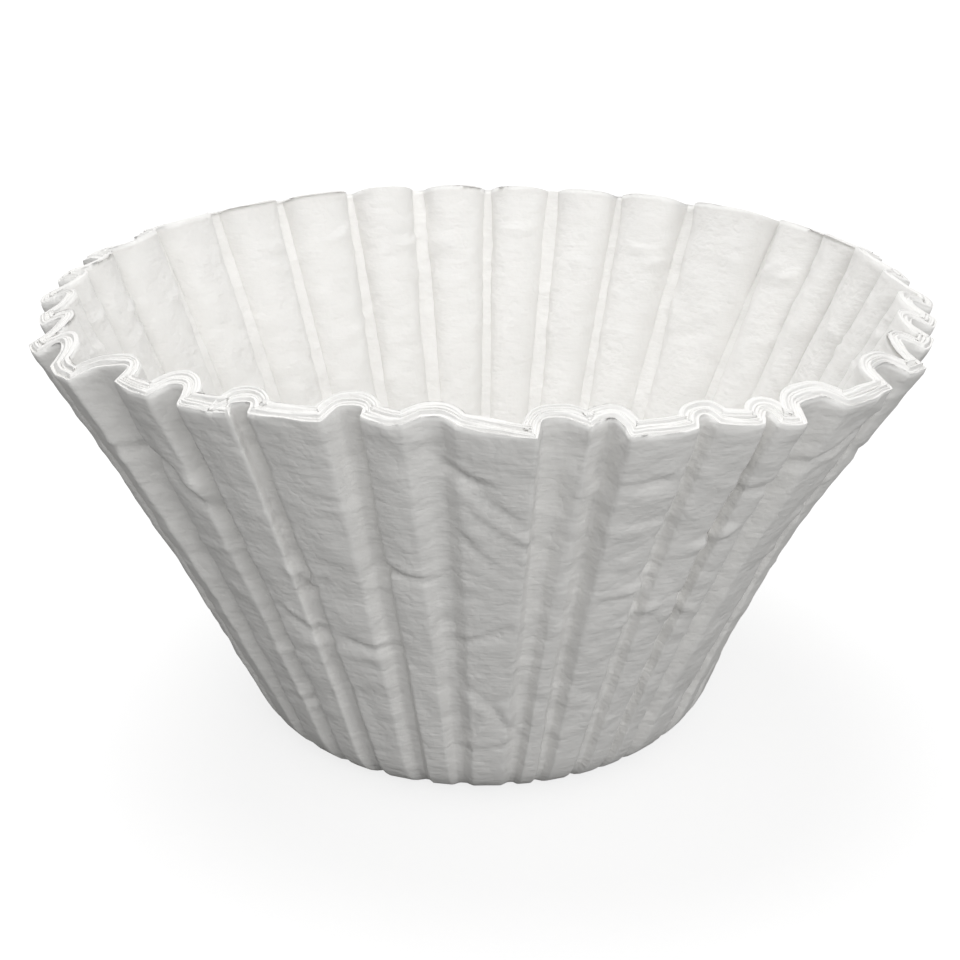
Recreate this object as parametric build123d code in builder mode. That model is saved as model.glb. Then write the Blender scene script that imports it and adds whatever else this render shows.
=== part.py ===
from build123d import *

# A nest of fluted basket coffee filters, pressed together into one thick-walled paper basket.
# Millimetres. +Z is up, and the origin is the middle of the flat base's underside.
# Angles run anticlockwise from +X, seen from above, and the nest's front faces -Y.

import os
from math import acos, atan2, cos, pi, radians, sin, tan

# The basket's outer skin
base_diameter = 99.0  # over the flutes, where the wall's line would meet the table
rim_diameter = 194.0  # over the flutes, at the outermost sheet's edge
wall_height = 99.0  # of the outermost sheet's edge
wall_bow = 0.112  # how far the wall's side view bows inwards, as a share of its own run
heel_radius = 13.0  # bend between the flat base and the wall
rim_egg = 2.0  # how far the rim stands out of round, widest at the +X side's two corners

# The paper
sheet_thickness = 0.16  # with the air left in the nest
sheet_count = 20
edge_step = 0.09  # how much higher each sheet's edge stands than the one outside it
edge_land = 0.4  # flat width on top of the innermost sheets

# The flutes, each made of an outer crest, two steep sides and an inner valley
flute_widths = (
    13, 11, 9.5, 12.5, 9.5, 13.5, 6, 10, 7.5, 6.5, 15, 9, 8.5, 8.5, 9, 12, 13,
    9, 13.5, 16, 11.5, 10.5, 11, 12, 12, 13, 13, 15, 13.5, 9.5, 9.5, 9, 8,
)  # relative to each other, anticlockwise
first_valley = -151.0  # degrees
crest_share = 0.6  # of a flute's width
side_share = 0.08  # of a flute's width, each of its two sides
rim_flute_depth = 5.5
heel_flute_depth = 1.8
foot_flute_depth = 0.4
fold_radius = 0.6

# Worked out from the sizes above
nest_thickness = sheet_thickness * sheet_count
edge_rise = edge_step * (sheet_count - 1)
nest_height = wall_height + edge_rise
wall_run = (rim_diameter - base_diameter) / 2
heel_turn = atan2(wall_height, wall_run * (1 - wall_bow))  # from level up to the wall's foot
heel_tangent = heel_radius * tan(heel_turn / 2)
heel_height = heel_tangent * sin(heel_turn)
wall_thickness = nest_thickness / sin(heel_turn)  # the nest's wall, cut by a level plane


def crest_radius(z):
    """Outer skin's radius over the flutes: a straight flare, bowed in, on a rounded heel."""
    share = z / wall_height
    radius = base_diameter / 2 + wall_run * (share + wall_bow * share * (share - 1))
    if z < heel_height:
        turned = acos(1 - z / heel_radius)
        radius = base_diameter / 2 - heel_tangent + heel_radius * sin(turned)
    return radius


def flute_depth(z):
    """Depth of the flutes, growing from the foot through the heel to the rim."""
    if z < heel_height:
        return foot_flute_depth + (heel_flute_depth - foot_flute_depth) * z / heel_height
    share = (z - heel_height) / (wall_height - heel_height)
    return heel_flute_depth + (rim_flute_depth - heel_flute_depth) * share


def fluted_corners(z, inset):
    """Fold points of the fluted outline, lying inset from the outer skin as it is at height z."""
    radius = crest_radius(z)
    depth = flute_depth(z)
    spread = rim_egg * z / wall_height
    corners = []
    valley = radians(first_valley)
    for width in flute_widths:
        pitch = 2 * pi * width / sum(flute_widths)
        side = side_share * pitch
        crest_half = crest_share * pitch / 2
        sideways = inset * tan(atan2(depth, side * radius) / 2) / radius
        shift = min(sideways, 0.6 * crest_half)
        middle = valley + pitch / 2
        for offset, drop in (
            (-crest_half - side + shift, depth),
            (-crest_half + shift, 0),
            (crest_half - shift, 0),
            (crest_half + side - shift, depth),
        ):
            angle = middle + offset
            reach = radius - drop - inset + spread * (cos(angle) - cos(3 * angle))
            corners.append((reach * cos(angle), reach * sin(angle)))
        valley += pitch
    return corners


def fluted_section(level, z, inset):
    """The closed outline at a level that lies inset from the outer skin as it is at height z."""
    with BuildSketch(Plane.XY.offset(level)) as section:
        with BuildLine():
            FilletPolyline(*fluted_corners(z, inset), radius=fold_radius, close=True)
        make_face()
    return section.sketch


heel_levels = (0, heel_height / 4, heel_height)
wall_levels = (wall_height / 2, wall_height)

# Outer skin, closed at the top by the slope of the stepped sheet edges
outer_sections = [fluted_section(z, z, 0) for z in heel_levels + wall_levels]
outer_sections.append(fluted_section(nest_height, wall_height, wall_thickness - edge_land))

# The hollow, on the nest's flat floor
inner_sections = [fluted_section(nest_thickness + z, z, wall_thickness) for z in heel_levels]
for z in wall_levels:
    lift = nest_thickness + (edge_rise - nest_thickness) * z / wall_height
    inner_sections.append(fluted_section(z + lift, z, wall_thickness))

with BuildPart() as coffee_filter:
    loft(outer_sections, ruled=True)
    loft(inner_sections, ruled=True, mode=Mode.SUBTRACT)

coffee_filter.part.label = "coffee_filter"

os.makedirs("parts", exist_ok=True)
export_step(coffee_filter.part, "parts/coffee_filter.step")
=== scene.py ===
from math import radians

import bpy
import numpy as np
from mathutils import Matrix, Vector


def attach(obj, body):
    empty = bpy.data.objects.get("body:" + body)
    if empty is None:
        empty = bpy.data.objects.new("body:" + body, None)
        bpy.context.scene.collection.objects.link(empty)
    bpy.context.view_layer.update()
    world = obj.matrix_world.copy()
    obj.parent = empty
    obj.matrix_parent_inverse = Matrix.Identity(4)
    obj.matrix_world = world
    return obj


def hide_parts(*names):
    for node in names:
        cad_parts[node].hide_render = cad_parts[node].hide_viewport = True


# A nest of fluted basket coffee filters, standing on its flat base.
# Metres, +Z up. Angles run round from the front (-Y) towards +X.

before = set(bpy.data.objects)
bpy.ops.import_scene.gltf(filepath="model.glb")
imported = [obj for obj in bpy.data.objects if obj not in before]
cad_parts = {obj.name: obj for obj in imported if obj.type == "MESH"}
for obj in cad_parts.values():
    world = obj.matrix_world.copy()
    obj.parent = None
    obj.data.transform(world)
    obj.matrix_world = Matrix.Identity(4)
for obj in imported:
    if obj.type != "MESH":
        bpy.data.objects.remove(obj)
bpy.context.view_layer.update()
print("frame loaded")

# Shape of the nest

nest = {
    "rim": 0.0968,         # radius over the crests at the rim
    "base": 0.0495,        # radius where the wall's line would meet the table
    "height": 0.0982,      # of the outermost sheet's edge on a crest
    "bow": 0.112,          # how far the wall's side view bows inwards
    "heel": 0.0105,        # from that meeting point to where the heel's bend ends, both ways
    "thick": 0.0032,       # all the sheets together
    "edgeSlope": 0.45,     # how much higher the edge stands where it lies further in
    "mostLift": 0.0031,    # and the most that it may rise
    "heelDepth": 0.0021,   # depth of the flutes where the wall begins
    "pressed": (72, 26, 0.0026),   # where the wall is pressed in halfway up: angle, spread, depth
    "crown": 0.0005,       # how far a crest's flat bulges
}

sideAngle = 0.9   # degrees round that the side of one of the other flutes takes up

# Folds at the rim, in degrees round from the front, with their distance from the axis as a share
# of the rim's radius: valley's end, crest's start, crest's end, next valley's start.
frontFlutes = [
    ((-59.8, 0.976), (-57.8, 1.012), (-51.9, 1.018), (-50.8, 0.972)),
    ((-46.5, 0.936), (-45.9, 0.982), (-39.3, 0.986), (-38.0, 0.944)),
    ((-36.3, 0.940), (-35.0, 0.983), (-27.9, 0.977), (-28.6, 0.954)),
    ((-26.4, 0.943), (-26.0, 0.969), (-17.0, 0.970), (-15.8, 0.926)),
    ((-13.6, 0.921), (-13.5, 0.945), (-8.4, 0.964), (-6.4, 0.941)),
    ((-4.3, 0.939), (-2.8, 0.960), (5.9, 0.994), (6.6, 0.946)),
    ((9.2, 0.946), (11.0, 0.962), (12.0, 0.963), (13.6, 0.951)),
    ((14.3, 0.953), (15.2, 0.997), (22.9, 0.996), (23.7, 0.972)),
    ((24.6, 0.970), (25.3, 0.993), (30.4, 1.012), (31.5, 0.986)),
    ((32.0, 0.986), (32.0, 1.017), (35.0, 1.029), (36.2, 0.984)),
    ((40.2, 0.982), (41.8, 1.026), (50.3, 1.028), (51.4, 0.975)),
    ((54.6, 0.975), (55.4, 1.018), (59.4, 1.031), (60.4, 0.985)),
]
# The rest: middle of the crest in degrees, its half width, its distance from the axis, its depth.
otherFlutes = [
    (66.0, 2.5, 1.006, 0.046), (74.5, 2.3, 0.996, 0.042), (83.5, 2.6, 0.994, 0.046),
    (93.5, 2.8, 0.972, 0.046), (107.5, 2.9, 0.992, 0.052), (117.6, 1.6, 1.002, 0.030),
    (127.5, 2.4, 1.002, 0.055), (145.0, 2.6, 1.012, 0.060), (157.4, 2.2, 1.010, 0.050),
    (168.4, 2.6, 1.006, 0.045), (179.0, 2.2, 0.998, 0.050), (190.6, 2.6, 0.990, 0.048),
    (202.2, 2.4, 0.984, 0.055), (215.0, 2.5, 0.972, 0.050), (228.0, 2.8, 0.964, 0.050),
    (241.5, 2.6, 0.962, 0.052), (256.5, 2.8, 0.954, 0.050), (268.2, 2.4, 0.957, 0.044),
    (277.6, 2.3, 0.974, 0.050), (286.8, 2.3, 0.974, 0.040), (295.0, 1.9, 1.011, 0.046),
]


def rimFolds():
    # folds of every flute at the rim: angles and radii, each an array of flutes by four
    rows = [[*zip(*flute)] for flute in frontFlutes]
    for middle, half, reach, depth in otherFlutes:
        start, end = middle - half, middle + half
        angles = (start - sideAngle, start, end, end + sideAngle)
        rows.append([angles, (reach - depth, reach, reach, reach - depth)])
    table = np.array(rows)
    return table[:, 0], table[:, 1]


# Columns between one fold and the next: side, crest, side, valley.
columnsPerPanel = (6, 10, 6, 5)
# Folds of an even flute, as shares of its pitch.
evenFolds = np.array([0.08, 0.24, 0.76, 0.92])


def smoothRound(points, passes):
    # each column becomes a quarter of each neighbour and half of itself, going round the ring
    for _ in range(passes):
        points = (np.roll(points, 1, axis=1) + 2 * points + np.roll(points, -1, axis=1)) / 4
    return points


def unit(vectors):
    return vectors / np.linalg.norm(vectors, axis=-1, keepdims=True)


def wallProfile(count):
    # side view of the crests, from the wall's start (0) to the rim (1): radius, height and share
    share = np.linspace(0, 1, count)
    startZ = nest["heel"]
    z = startZ + (nest["height"] - startZ) * share
    up = z / nest["height"]
    radius = nest["base"] + (nest["rim"] - nest["base"]) * (up + nest["bow"] * up * (up - 1))
    return radius, z, share


def heelProfile(count):
    # quadratic curve from the flat base to the wall's start, with its control point at the corner
    wallRadius, wallZ, _ = wallProfile(2)
    t = np.linspace(0, 1, count, endpoint=False)
    start, corner = nest["base"] - nest["heel"], nest["base"]
    radius = (1 - t) ** 2 * start + 2 * t * (1 - t) * corner + t**2 * wallRadius[0]
    z = t**2 * wallZ[0]
    return radius, z, t


def sideView(baseRows, heelRows, wallRows):
    # whole side view from the middle of the base to the rim: radius, height, fold growth, flute depth
    wallRadius, wallZ, wallShare = wallProfile(wallRows)
    heelRadius, heelZ, heelShare = heelProfile(heelRows)
    baseShare = np.linspace(0, 1, baseRows, endpoint=False)
    radius = np.concatenate([baseShare * heelRadius[0], heelRadius, wallRadius])
    z = np.concatenate([baseShare * 0, heelZ, wallZ])
    grown = np.concatenate([baseShare * 0, heelShare * 0, wallShare])
    deepening = np.concatenate([baseShare * 0, 0.15 + 0.85 * heelShare, 1 + 0 * wallShare])
    return radius, z, grown, deepening * nest["heelDepth"]


def flutedRings(radius, grown, depth):
    # each row's ring of folds: a fold's angle and reach go from an even flute's to the rim's own
    rimAngle, rimReach = rimFolds()
    turnBack = np.array([-360] + [0] * (len(rimAngle) - 1))   # the first flute follows the last
    mid = (np.roll(rimAngle[:, 3], 1) + turnBack + rimAngle[:, 0]) / 2
    pitch = np.append(mid[1:], mid[0] + 360) - mid
    evenAngle = mid[:, None] + pitch[:, None] * evenFolds
    isValley = np.array([1, 0, 0, 1])
    grow = grown[:, None, None]
    angle = np.radians(evenAngle + (rimAngle - evenAngle) * grow**0.8)
    dip = depth[:, None, None] * isValley * (1 - grow)
    reach = radius[:, None, None] * (1 - (1 - rimReach) * grow) - dip
    middle, spread, press = nest["pressed"]
    bell = np.exp(-(((np.degrees(angle) - middle) / spread) ** 2))
    reach = reach - press * bell * 4 * grow * (1 - grow)
    folds = np.stack([reach * np.sin(angle), -reach * np.cos(angle)], axis=-1)
    folds = folds.reshape(len(radius), -1, 2)
    nextFolds = np.roll(folds, -1, axis=1)
    ring = []
    for panel, count in enumerate(columnsPerPanel):
        even = np.arange(count) / count
        along = 0.5 * even + 0.25 * (1 - np.cos(np.pi * even))   # closer by the folds
        along = along[None, None, :, None]
        stretch = folds[:, panel::4, None] * (1 - along) + nextFolds[:, panel::4, None] * along
        swell = {1: nest["crown"], 3: -nest["crown"] / 2}.get(panel, 0)
        bulge = swell * np.sin(np.pi * along) * grown[:, None, None, None]
        ring.append(stretch + unit(stretch + 1e-9) * bulge)
    return np.concatenate(ring, axis=2).reshape(len(radius), -1, 2)


def nestSkins(baseRows, heelRows, wallRows):
    # outer skin, unit normals and each row's fold growth, rows from the base's middle to the rim
    radius, z, grown, depth = sideView(baseRows, heelRows, wallRows)
    flat = smoothRound(flutedRings(radius, grown, depth), 1)
    reach = np.linalg.norm(flat, axis=-1)
    lift = np.minimum(nest["edgeSlope"] * (nest["rim"] - reach[-1]), nest["mostLift"])
    height = z[:, None] + lift[None, :] * grown[:, None]
    outer = np.dstack([flat, height])
    # normal: across the ring from the softened outline, tipped down by the side view's slope
    soft = smoothRound(flat, 3)
    soft[0] = soft[1]
    along = np.roll(soft, -1, axis=1) - np.roll(soft, 1, axis=1)
    across = unit(np.dstack([along[..., 1], -along[..., 0]]))
    facing = (across * unit(soft)).sum(axis=-1)
    slopeR, slopeZ = np.gradient(radius), np.gradient(z)
    length = np.hypot(slopeR, slopeZ)
    level, down = (slopeZ / length)[:, None], (slopeR / length)[:, None]
    normal = unit(np.dstack([across * np.maximum(level, 0.02)[..., None], -down * facing]))
    return outer, normal, grown


# Crumple of the paper

crumple = {
    "seed": 7,             # of the short creases
    "sway": 0.00022,       # slow wander of the whole wall
    "ripple": 0.00013,     # soft dents a few millimetres across
    "wrinkle": 0.00050,    # sharp-bottomed wrinkles, in patches
    "patch": 0.62,         # more of this leaves more of the wall smooth
    "creases": 260,        # short random creases on each face
    "creaseDepth": 0.0004,
    "outerSeed": 21,
    "innerSeed": 41,
    "crescentSeed": 3,
    # sums of waves: how many, the shortest and the longest
    "swayWaves": (14, 0.03, 0.09),
    "rippleWaves": (40, 0.004, 0.014),
    "patchWaves": (12, 0.014, 0.04),
    "valleyWaves": (26, 0.007, 0.022),
    "fineWaves": (26, 0.004, 0.011),
}

# Creases and dents that stand out, on the outer face: degrees from the front, height, heading in
# degrees from level, half length, width and depth (negative stands out), all in metres.
outerMarks = [
    (-47.0, 0.086, -62, 0.012, 0.0016, 0.0011),
    (-41.5, 0.077, -58, 0.010, 0.0018, 0.0010),
    (-49.5, 0.082, 10, 0.005, 0.0012, 0.0009),
    (-27.0, 0.060, -35, 0.004, 0.0012, -0.0008),
    (-25.5, 0.058, 40, 0.005, 0.0010, 0.0008),
    (-30.5, 0.047, -40, 0.006, 0.0011, 0.0008),
    (-19.0, 0.044, -10, 0.006, 0.0010, 0.0007),
    (-10.5, 0.064, -15, 0.005, 0.0011, 0.0009),
    (-2.2, 0.089, -30, 0.005, 0.0010, 0.0010),
    (0.6, 0.084, -48, 0.008, 0.0010, 0.0006),
    (2.2, 0.076, -40, 0.010, 0.0010, 0.0006),
    (-0.4, 0.071, -52, 0.007, 0.0009, 0.0005),
    (0.5, 0.049, 30, 0.007, 0.0012, 0.0006),
    (-0.8, 0.022, 70, 0.006, 0.0009, -0.0006),
    (0.8, 0.016, 12, 0.006, 0.0010, 0.0006),
    (22.0, 0.060, 35, 0.005, 0.0010, -0.0008),
    (20.0, 0.058, 20, 0.004, 0.0010, 0.0008),
    (31.5, 0.070, 35, 0.005, 0.0011, -0.0009),
    (24.0, 0.052, 30, 0.005, 0.0010, -0.0007),
    (35.0, 0.082, 12, 0.006, 0.0013, 0.0008),
    (18.5, 0.087, 8, 0.005, 0.0011, 0.0006),
    (46.0, 0.086, 25, 0.010, 0.0015, 0.0010),
]


def waves(points, count, shortest, longest, seed):
    # sum of plane waves with random directions, lengths and starts, scaled to about -1..1
    rng = np.random.default_rng(seed)
    total = np.zeros(points.shape[:-1])
    for _ in range(count):
        heading = unit(rng.normal(size=3))
        length = shortest * (longest / shortest) ** rng.random()
        total += np.sin(points @ (heading * 2 * np.pi / length) + rng.random() * 2 * np.pi)
    return total / np.sqrt(count)


def crease(points, degrees, height, heading, half, width, depth):
    # valley along a short line on the wall: a bell across it, fading towards both ends
    angle = np.arctan2(points[..., 0], -points[..., 1])
    turn = (angle - radians(degrees) + np.pi) % (2 * np.pi) - np.pi
    reach = np.hypot(points[..., 0], points[..., 1])
    level, up = turn * reach, (points[..., 2] - height) * 1.1
    c, s = np.cos(radians(heading)), np.sin(radians(heading))
    along, across = level * c + up * s, up * c - level * s
    bend = across - 0.12 * along**2 / half
    fade = np.exp(-((along / half) ** 4))
    ridge = np.exp(-((bend / width) ** 2)) - 0.45 * np.exp(-(((bend - 1.6 * width) / width) ** 2))
    return -depth * fade * ridge


def randomMarks(count, seed, depth):
    # short creases scattered over the wall, level ones more often
    rng = np.random.default_rng(seed)
    marks = []
    for _ in range(count):
        size = rng.random() ** 2
        marks.append((
            rng.random() * 360,
            0.008 + 0.088 * rng.random(),
            rng.normal() * 40,
            0.002 + 0.006 * size,
            0.0007 + 0.0006 * rng.random(),
            depth * (0.3 + 0.7 * size) * rng.choice([-1, 1]),
        ))
    return marks


def wrinkled(points, seed):
    # sharp-bottomed valleys where a sum of waves passes through zero, only in patches of the wall
    patches = np.clip(waves(points, *crumple["patchWaves"], seed) + 0.5 - crumple["patch"], 0, 1)
    valleys = np.exp(-6 * np.abs(waves(points, *crumple["valleyWaves"], seed + 1)))
    fine = np.exp(-5 * np.abs(waves(points, *crumple["fineWaves"], seed + 2)))
    return -patches * (valleys * 0.65 + fine * 0.35)


def crumpled(points, normal, grown, marks, seed):
    # the face moved along its normal by slow sway, soft dents, wrinkles and creases, less on the base
    fade = np.clip(grown * 8 + 0.12, 0, 1)[:, None]
    swayFade = np.clip(grown * 2, 0, 1)[:, None]
    move = crumple["sway"] * waves(points, *crumple["swayWaves"], seed) * swayFade
    move += crumple["ripple"] * waves(points, *crumple["rippleWaves"], seed + 1) * fade
    move += crumple["wrinkle"] * wrinkled(points, seed + 2) * fade
    for mark in marks:
        move += crease(points, *mark) * fade
    return points + normal * move[..., None]


def crescents(seed):
    # small curved creases just under the edge, one or two on each panel that stands inwards
    rng = np.random.default_rng(seed)
    rimAngle, _ = rimFolds()
    marks = []
    for valley in (rimAngle[:, 3] + 1.5).tolist():
        for _ in range(rng.integers(1, 3)):
            height = 0.084 + 0.010 * rng.random()
            place = valley + rng.normal() * 1.2
            marks.append((place, height, rng.normal() * 25, 0.0035, 0.0009, 0.0006))
    return marks


# Meshes

def meshFromRings(name, rings):
    # rings of equal length, joined row to row; the first and last rings close to a point each
    rows, columns = rings.shape[:2]
    poles = np.array([rings[0].mean(axis=0), rings[-1].mean(axis=0)])
    points = np.concatenate([rings.reshape(-1, 3), poles])
    column = np.arange(columns)
    nextColumn = (column + 1) % columns
    row = np.arange(rows - 1)[:, None] * columns
    above = row + columns
    quads = np.stack([row + column, row + nextColumn, above + nextColumn, above + column], axis=-1)
    last = (rows - 1) * columns
    firstPole, lastPole = rows * columns, rows * columns + 1
    low = np.stack([nextColumn, column, np.full(columns, firstPole)], axis=-1)
    high = np.stack([last + column, last + nextColumn, np.full(columns, lastPole)], axis=-1)
    faces = quads.reshape(-1, 4).tolist() + low.tolist() + high.tolist()
    mesh = bpy.data.meshes.new(name)
    mesh.from_pydata(points.tolist(), [], faces)
    mesh.polygons.foreach_set("use_smooth", np.ones(len(mesh.polygons), bool))
    mesh.update()
    piece = bpy.data.objects.new(name, mesh)
    bpy.context.scene.collection.objects.link(piece)
    return piece


rim = {
    "sheets": 12,          # edges that can be told apart
    "uneven": 0.00010,     # how far one edge stands above or below its place
    "fanned": 0.00022,     # slow wander of each edge along the rim
    "fanWaves": (10, 0.012, 0.05),
    "softness": 0.0004,    # rounding of the outermost edge
    "softRows": 2,         # rows that it takes in
    "tread": (0.12, 0.88), # where each edge's flat top begins and ends, as shares of a sheet
    "seed": 5,
    "splay": 0.0007,       # how far the sheets come apart at their edges
    "splayShare": 0.04,    # of the wall's height
}


def sheetEdges(outerEdge, innerEdge, upward, first, last, seed):
    # a stair of edges, part of the way from one skin's edge to the other's: a flat per sheet,
    # raised by the sheet's own height and by a slow wave along the rim
    rng = np.random.default_rng(seed)
    offsets = rng.normal(size=rim["sheets"] + 1) * rim["uneven"]
    rows = []
    for sheet in range(first, last):
        wander = waves(outerEdge, *rim["fanWaves"], seed + sheet) * rim["fanned"]
        rise = upward * (offsets[sheet] + wander)[:, None]
        for side in rim["tread"]:
            t = (sheet + side) / rim["sheets"]
            rows.append(outerEdge * (1 - t) + innerEdge * t + rise)
    return np.array(rows)


grid = {
    "rows": (3, 8, 84),    # of the base, the heel and the wall
    "innerPasses": 2,      # smoothing of the inner face's folds
    "heelPasses": 60,      # where the flutes even out inside, at the heel
    "heelShare": 5,        # one over the share of the wall where they come back
    "baseGap": 0.0002,     # between the base's middle and the floor
}

rowsOfBase = grid["rows"][0]
outer, normal, grown = nestSkins(*grid["rows"])
splayed = rim["splay"] * np.exp(-(1 - grown) / rim["splayShare"])
inner = outer - (nest["thick"] + splayed)[:, None, None] * normal
even = np.clip(1 - grid["heelShare"] * grown, 0, 1)[:, None, None]
evened = smoothRound(inner, grid["heelPasses"]) * even
flatInner = smoothRound(inner, grid["innerPasses"]) * (1 - even) + evened
count, seed, depth = crumple["creases"], crumple["seed"], crumple["creaseDepth"]
outerCreases = outerMarks + randomMarks(count, seed, depth)
innerCreases = randomMarks(count, seed + 1, depth) + crescents(crumple["crescentSeed"])
outerFace = crumpled(outer, normal, grown, outerCreases, crumple["outerSeed"])
innerFace = crumpled(flatInner, normal, grown, innerCreases, crumple["innerSeed"])
clear = grid["baseGap"] * (1 - np.clip(grown * 20, 0, 1))
outerFace[..., 2] = np.maximum(outerFace[..., 2], clear[:, None])
upward = unit(outer[-1] - outer[-3])

# The outermost edge is softly rounded: its last rows lean in towards the nest.
for step in range(rim["softRows"]):
    share = 1 - step / rim["softRows"]
    outerFace[-1 - step] -= normal[-1 - step] * rim["softness"] * share**2

# Each piece closes along a coarse wall halfway through the nest.
middleFace = (outerFace + innerFace) / 2
halfSheets = rim["sheets"] // 2
heelRows = [rowsOfBase + 8, rowsOfBase + 4, rowsOfBase]
hidden = middleFace[[len(outer) - 3, len(outer) * 2 // 3, *heelRows]]
edges = (outerFace[-1], innerFace[-1], upward)
outerTop = sheetEdges(*edges, 0, halfSheets, rim["seed"])
innerTop = sheetEdges(*edges, halfSheets, rim["sheets"], rim["seed"])
outerRings = np.concatenate([outerFace[1:], outerTop, hidden])
innerRings = np.concatenate([hidden[::-1], innerTop, innerFace[:0:-1]])
outerSheets = meshFromRings("outer_sheets", outerRings)
innerSheets = meshFromRings("inner_sheets", innerRings)
print("sheets made:", [len(o.data.polygons) for o in (outerSheets, innerSheets)])


# Materials

class Value:
    # a socket that can be added, multiplied and so on, each making a Math node

    def __init__(self, nodes, socket):
        self.nodes, self.socket = nodes, socket

    def math(self, operation, *others):
        values = {n: v for n, v in enumerate((self, *others))}
        return self.nodes.add("ShaderNodeMath", {"operation": operation}, values)

    def __add__(self, other):
        return self.math("ADD", other)

    def __radd__(self, other):
        return self.math("ADD", other)

    def __sub__(self, other):
        return self.math("SUBTRACT", other)

    def __rsub__(self, other):
        return self.math("MULTIPLY", -1.0).math("ADD", other)

    def __mul__(self, other):
        return self.math("MULTIPLY", other)

    def __rmul__(self, other):
        return self.math("MULTIPLY", other)


class Nodes:
    # the tree of a material or a world; add() makes a node from its type, its settings, which are
    # set first, and its sockets' values or links

    def __init__(self, owner):
        owner.use_nodes = True
        self.tree = owner.node_tree
        self.tree.nodes.clear()

    def add(self, kind, settings=None, sockets=None, output=0):
        node = self.tree.nodes.new(kind)
        for key, setting in (settings or {}).items():
            setattr(node, key, setting)
        for key, value in (sockets or {}).items():
            if isinstance(value, Value):
                self.tree.links.new(value.socket, node.inputs[key])
            else:
                node.inputs[key].default_value = value
        return Value(self, node.outputs[output] if len(node.outputs) else None)

    def noise(self, place, scale, detail=3.0, roughness=0.55):
        sockets = {"Vector": place, "Scale": scale, "Detail": detail, "Roughness": roughness}
        return self.add("ShaderNodeTexNoise", {}, sockets)

    def mix(self, factor, first, second):
        settings = {"data_type": "RGBA"}
        return self.add("ShaderNodeMix", settings, {0: factor, 6: first, 7: second}, output=2)


paper = {
    "light": (0.90, 0.895, 0.88, 1),
    "dull": (0.85, 0.84, 0.82, 1),
    "roughness": 0.9,
    "sheen": 0.2,          # specular level
    "fibreScale": 1400,
    "mottleScale": 260,
    "crepeScale": 520,
    "crepeStretch": (0.45, 0.45, 1.6),
    "foldScale": 110,
    "bump": 0.45,
    # heights of the bumps
    "crepe": 0.00045,
    "cloud": 0.00018,
    "fibres": 0.0001,
    "folds": 0.0022,
}


def filterPaper(name):
    # bleached filter paper: cloudy mottling, crepe drawn out level, fibres and sharp little folds
    material = bpy.data.materials.new(name)
    nodes = Nodes(material)
    place = nodes.add("ShaderNodeTexCoord", output=3)
    level = nodes.add("ShaderNodeMapping", {}, {"Vector": place, "Scale": paper["crepeStretch"]})
    cloud = nodes.noise(place, paper["mottleScale"], 4.0)
    fibres = nodes.noise(place, paper["fibreScale"], 2.0)
    crepe = nodes.noise(level, paper["crepeScale"], 3.0)
    colour = nodes.mix(cloud * 0.7 + fibres * 0.3, paper["dull"], paper["light"])
    folds = (nodes.noise(place, paper["foldScale"], 3.0, 0.6) - 0.5).math("ABSOLUTE")
    folds = folds.math("MINIMUM", 0.12)
    height = crepe * paper["crepe"] + cloud * paper["cloud"]
    height = height + fibres * paper["fibres"] + folds * paper["folds"]
    sockets = {"Strength": paper["bump"], "Distance": 1.0, "Height": height}
    bump = nodes.add("ShaderNodeBump", {}, sockets)
    surface = nodes.add("ShaderNodeBsdfPrincipled", {}, {
        "Base Color": colour, "Roughness": paper["roughness"],
        "Specular IOR Level": paper["sheen"], "Normal": bump,
    })
    nodes.add("ShaderNodeOutputMaterial", {}, {"Surface": surface})
    return material


paperMaterial = filterPaper("filter_paper")
for piece in (outerSheets, innerSheets):
    piece.data.materials.append(paperMaterial)
    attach(piece, "root")
    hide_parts("coffee_filter")
print("paper applied")


# Floor, light and camera

studio = {
    "floorSize": 6.0,
    "floorColour": (0.20, 0.20, 0.197, 1),   # as the paper sees it
    "floorSeen": (0.30, 0.30, 0.30, 1),      # as the camera sees it, with the glow added
    "floorGlow": (0.78, 0.78, 0.78, 1),      # near the nest; it grows to white further off
    "glowStart": 0.35,     # how far from the nest's middle it begins to grow
    "sky": 0.38,
    "aim": (0, 0, 0.05),   # where the lamps point
    "key": ((-0.12, 0.20, 1.25), 0.9, 10.0),   # place, width and power of each lamp
    "side": ((1.05, -1.10, 0.30), 0.6, 3.6),
    "front": ((0.12, -1.4, 0.78), 0.9, 7.0),
}


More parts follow.
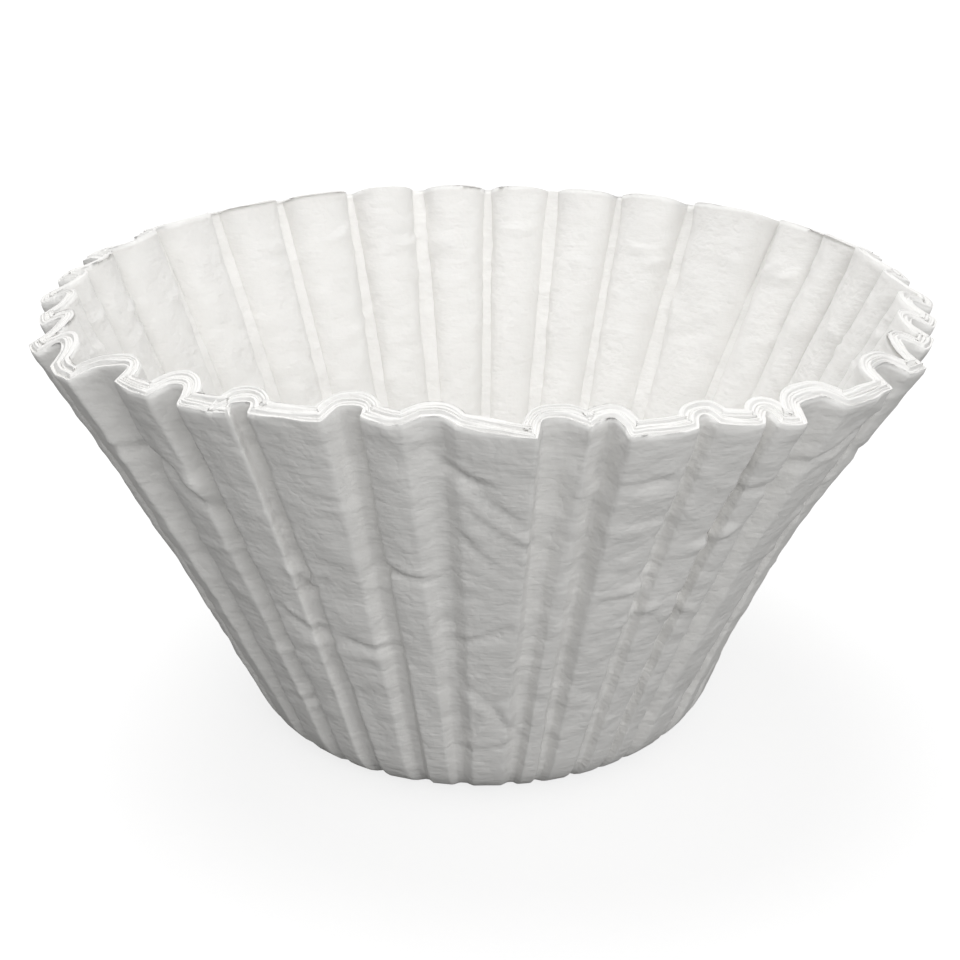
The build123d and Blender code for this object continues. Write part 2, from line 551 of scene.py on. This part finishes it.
def makeFloor():
    mesh = bpy.data.meshes.new("floor")
    half = studio["floorSize"] / 2
    corners = [(-half, -half, 0), (half, -half, 0), (half, half, 0), (-half, half, 0)]
    mesh.from_pydata(corners, [], [(0, 1, 2, 3)])
    floor = bpy.data.objects.new("floor", mesh)
    bpy.context.scene.collection.objects.link(floor)
    material = bpy.data.materials.new("floor_card")
    nodes = Nodes(material)
    seen = nodes.add("ShaderNodeLightPath")
    matte = nodes.add("ShaderNodeBsdfDiffuse", {}, {"Color": studio["floorColour"]})
    pale = nodes.add("ShaderNodeBsdfDiffuse", {}, {"Color": studio["floorSeen"]})
    place = nodes.add("ShaderNodeTexCoord", output=3)
    away = nodes.add("ShaderNodeVectorMath", {"operation": "LENGTH"}, {0: place}, output=1)
    growth = (away - studio["glowStart"]).math("MAXIMUM", 0.0)
    tint = nodes.mix(growth, studio["floorGlow"], (1, 1, 1, 1))
    glow = nodes.add("ShaderNodeEmission", {}, {"Color": tint})
    white = nodes.add("ShaderNodeAddShader", {}, {0: pale, 1: glow})
    surface = nodes.add("ShaderNodeMixShader", {}, {0: seen, 1: matte, 2: white})
    nodes.add("ShaderNodeOutputMaterial", {}, {"Surface": surface})
    mesh.materials.append(material)


def makeLight(name, place, size, power):
    data = bpy.data.lights.new(name, "AREA")
    data.shape = "DISK"
    data.size = size
    data.energy = power
    lamp = bpy.data.objects.new(name, data)
    lamp.location = place
    heading = Vector(studio["aim"]) - Vector(place)
    lamp.rotation_euler = heading.to_track_quat("-Z", "Y").to_euler()
    bpy.context.scene.collection.objects.link(lamp)


def makeSky():
    world = bpy.data.worlds.new("studio")
    bpy.context.scene.world = world
    nodes = Nodes(world)
    white = (1, 1, 1, 1)
    seen = nodes.add("ShaderNodeLightPath")
    lit = nodes.add("ShaderNodeBackground", {}, {"Color": white, "Strength": studio["sky"]})
    shown = nodes.add("ShaderNodeBackground", {}, {"Color": white, "Strength": 1.0})
    surface = nodes.add("ShaderNodeMixShader", {}, {0: seen, 1: lit, 2: shown})
    nodes.add("ShaderNodeOutputWorld", {}, {"Surface": surface})


view = {
    "distance": 0.4042,
    "elevation": 22.23,    # degrees above level
    "aimHeight": 0.0491,
    "lens": 66.3,
    "shift": (-0.0021, 0.0198),
}


def makeCamera():
    data = bpy.data.cameras.new("camera")
    data.lens = view["lens"]
    data.sensor_width = 36
    data.shift_x, data.shift_y = view["shift"]
    data.clip_start = 0.01
    camera = bpy.data.objects.new("camera", data)
    rise = radians(view["elevation"])
    back, up = view["distance"] * np.cos(rise), view["distance"] * np.sin(rise)
    camera.location = (0, -back, view["aimHeight"] + up)
    camera.rotation_euler = (np.pi / 2 - rise, 0, 0)
    bpy.context.scene.collection.objects.link(camera)
    bpy.context.scene.camera = camera


makeFloor()
makeLight("key_lamp", *studio["key"])
makeLight("side_lamp", *studio["side"])
makeLight("front_lamp", *studio["front"])
makeSky()
makeCamera()
bpy.context.scene.view_settings.view_transform = "Standard"
print("studio made")
